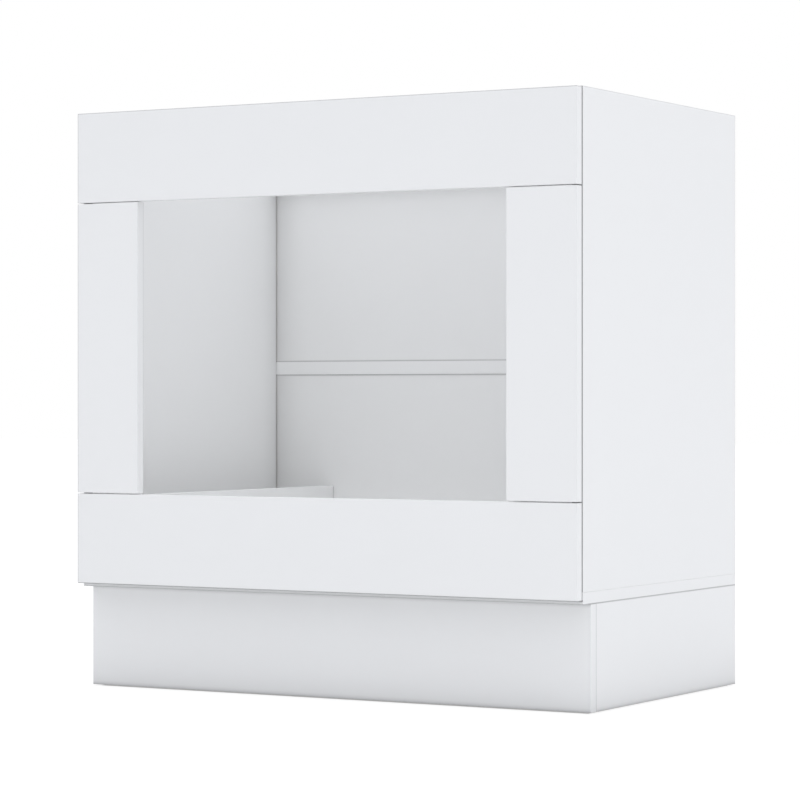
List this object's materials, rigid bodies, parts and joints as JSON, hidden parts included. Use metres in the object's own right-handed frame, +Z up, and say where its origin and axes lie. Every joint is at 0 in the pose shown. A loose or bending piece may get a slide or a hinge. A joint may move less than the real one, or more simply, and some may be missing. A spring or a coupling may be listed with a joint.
{
  "type": "oven base cabinet",
  "caption": "Fixed white kitchen base unit with a plinth, a front framed around an open oven niche, upright oven bearers, a split back and levelling feet.",
  "frame": {"origin": "on the floor, under the middle of the overall box", "axes": "+X to the right as seen from the front, +Y to the back, +Z up; the front faces -Y"},
  "size_m": [0.8, 0.512, 0.822],
  "materials": {
    "white_board": "white melamine-faced chipboard with white edge bands, satin",
    "white_hardboard": "thin hardboard, white lacquer inside and bare brown outside",
    "white_plastic": "extruded white plastic, satin",
    "raw_wood": "plain unfinished wood",
    "zinc_steel": "bright zinc-plated steel",
    "dark_plastic": "moulded dark plastic, matt"
  },
  "bodies": {
    "cabinet": {"base_panel": "white_board", "left_side_panel": "white_board", "right_side_panel": "white_board", "left_oven_bearer": "white_board", "right_oven_bearer": "white_board", "front_top_rail": "white_board", "rear_top_rail": "white_board", "upper_front_panel": "white_board", "lower_front_panel": "white_board", "left_front_filler": "white_board", "right_front_filler": "white_board", "plinth_front_board": "white_board", "plinth_left_board": "white_board", "plinth_right_board": "white_board", "plinth_rear_board": "white_board", "plinth_middle_board": "white_board", "upper_back_panel": "white_hardboard", "lower_back_panel": "white_hardboard", "back_joint_strip": "white_plastic", "plinth_front_left_block": "raw_wood", "plinth_front_right_block": "raw_wood", "plinth_rear_left_block": "raw_wood", "plinth_rear_right_block": "raw_wood", "base_dowels": "raw_wood", "rail_dowels": "raw_wood", "plinth_dowels": "raw_wood", "base_screws": "zinc_steel", "base_to_plinth_screws": "zinc_steel", "block_screws": "zinc_steel", "panel_screws": "zinc_steel", "bracket_screws": "zinc_steel", "back_nails": "zinc_steel", "rail_cam_bolts": "zinc_steel", "rail_cams": "zinc_steel", "front_angle_brackets": "zinc_steel", "worktop_brackets": "zinc_steel", "foot_inserts": "zinc_steel"},
    "front_left_pad": {"front_left_foot_pad": "dark_plastic"},
    "front_left_screw": {"front_left_foot_screw": "zinc_steel"},
    "front_right_pad": {"front_right_foot_pad": "dark_plastic"},
    "front_right_screw": {"front_right_foot_screw": "zinc_steel"},
    "rear_left_pad": {"rear_left_foot_pad": "dark_plastic"},
    "rear_left_screw": {"rear_left_foot_screw": "zinc_steel"},
    "rear_right_pad": {"rear_right_foot_pad": "dark_plastic"},
    "rear_right_screw": {"rear_right_foot_screw": "zinc_steel"}
  },
  "joints": [
    {"name": "front_left_foot_travel", "type": "slide", "parent": "cabinet", "child": "front_left_pad", "axis": [0, 0, -1], "range_m": [0, 0.015]},
    {"name": "front_left_foot_turn", "type": "hinge", "parent": "front_left_pad", "child": "front_left_screw", "pos_m": [-0.364, -0.181, 0.03], "axis": [0, 0, -1], "range_deg": [0, 4320]},
    {"name": "front_right_foot_travel", "type": "slide", "parent": "cabinet", "child": "front_right_pad", "axis": [0, 0, -1], "range_m": [0, 0.015]},
    {"name": "front_right_foot_turn", "type": "hinge", "parent": "front_right_pad", "child": "front_right_screw", "pos_m": [0.364, -0.181, 0.03], "axis": [0, 0, -1], "range_deg": [0, 4320]},
    {"name": "rear_left_foot_travel", "type": "slide", "parent": "cabinet", "child": "rear_left_pad", "axis": [0, 0, -1], "range_m": [0, 0.015]},
    {"name": "rear_left_foot_turn", "type": "hinge", "parent": "rear_left_pad", "child": "rear_left_screw", "pos_m": [-0.364, 0.214, 0.03], "axis": [0, 0, -1], "range_deg": [0, 4320]},
    {"name": "rear_right_foot_travel", "type": "slide", "parent": "cabinet", "child": "rear_right_pad", "axis": [0, 0, -1], "range_m": [0, 0.015]},
    {"name": "rear_right_foot_turn", "type": "hinge", "parent": "rear_right_pad", "child": "rear_right_screw", "pos_m": [0.364, 0.214, 0.03], "axis": [0, 0, -1], "range_deg": [0, 4320]}
  ],
  "couplings": [
    {"joint": "front_left_foot_turn", "follows": "front_left_foot_travel", "rad_per_m": 5026.5},
    {"joint": "front_right_foot_turn", "follows": "front_right_foot_travel", "rad_per_m": 5026.5},
    {"joint": "rear_left_foot_turn", "follows": "rear_left_foot_travel", "rad_per_m": 5026.5},
    {"joint": "rear_right_foot_turn", "follows": "rear_right_foot_travel", "rad_per_m": 5026.5}
  ]
}
